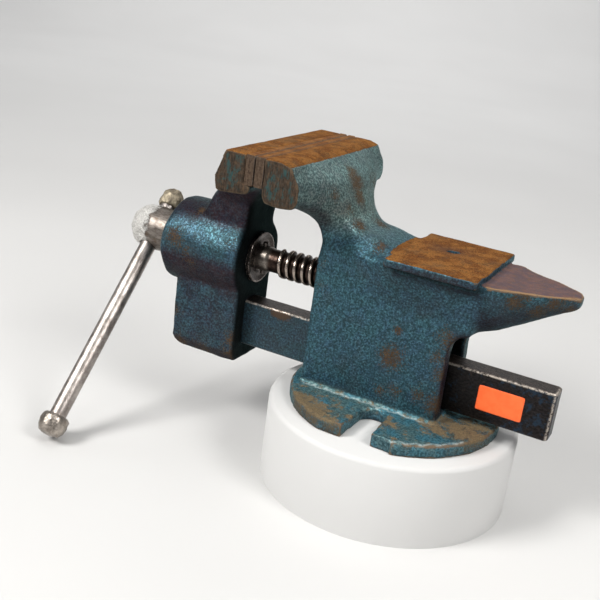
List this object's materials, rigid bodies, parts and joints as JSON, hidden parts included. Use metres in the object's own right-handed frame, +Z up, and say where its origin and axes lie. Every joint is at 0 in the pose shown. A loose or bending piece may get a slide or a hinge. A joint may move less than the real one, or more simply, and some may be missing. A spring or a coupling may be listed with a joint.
{
  "type": "small anvil bench vise",
  "caption": "Small cast-iron bench vise with an anvil plate and horn, screw-driven sliding jaw, slide bar and sliding handle.",
  "frame": {"origin": "centre of the round base flange, on its underside", "axes": "+X along the screw from the handle towards the horn, +Y across the jaws away from the side the handle hangs on, +Z up"},
  "size_m": [0.2167, 0.1222, 0.143],
  "materials": {
    "cast_paint": "hammered",
    "cast_bare": "rough",
    "jaw_steel": "worn",
    "bar_steel": "oxidised",
    "dark_steel": "satin",
    "bright_steel": "pitted"
  },
  "bodies": {
    "base": {"vise_body": "cast_paint", "rear_jaw_plate": "jaw_steel", "rear_jaw_screws": "dark_steel", "spindle_nut": "cast_bare", "nut_pin": "dark_steel"},
    "sliding_jaw": {"front_jaw_casting": "cast_paint", "slide_bar": "bar_steel", "slide_bar_pin": "dark_steel", "front_jaw_plate": "jaw_steel", "front_jaw_screws": "dark_steel"},
    "screw": {"spindle": "bar_steel", "retaining_washer": "dark_steel", "retaining_pin": "dark_steel"},
    "handle": {"handle_bar": "bright_steel", "handle_knob_upper": "bright_steel", "handle_knob_lower": "bright_steel"}
  },
  "joints": [
    {"name": "jaw_slide", "type": "slide", "parent": "base", "child": "sliding_jaw", "axis": [-1, 0, 0], "range_m": [-0.0008, 0.046]},
    {"name": "spindle_turn", "type": "hinge", "parent": "sliding_jaw", "child": "screw", "pos_m": [0, 0, 0.0515], "axis": [-1, 0, 0], "range_deg": [-75, 4150]},
    {"name": "handle_slide", "type": "slide", "parent": "screw", "child": "handle", "axis": [0, 0.6618, 0.7497], "range_m": [-0.0006, 0.088]}
  ],
  "couplings": [
    {"joint": "spindle_turn", "follows": "jaw_slide", "rad_per_m": 1570.8}
  ]
}
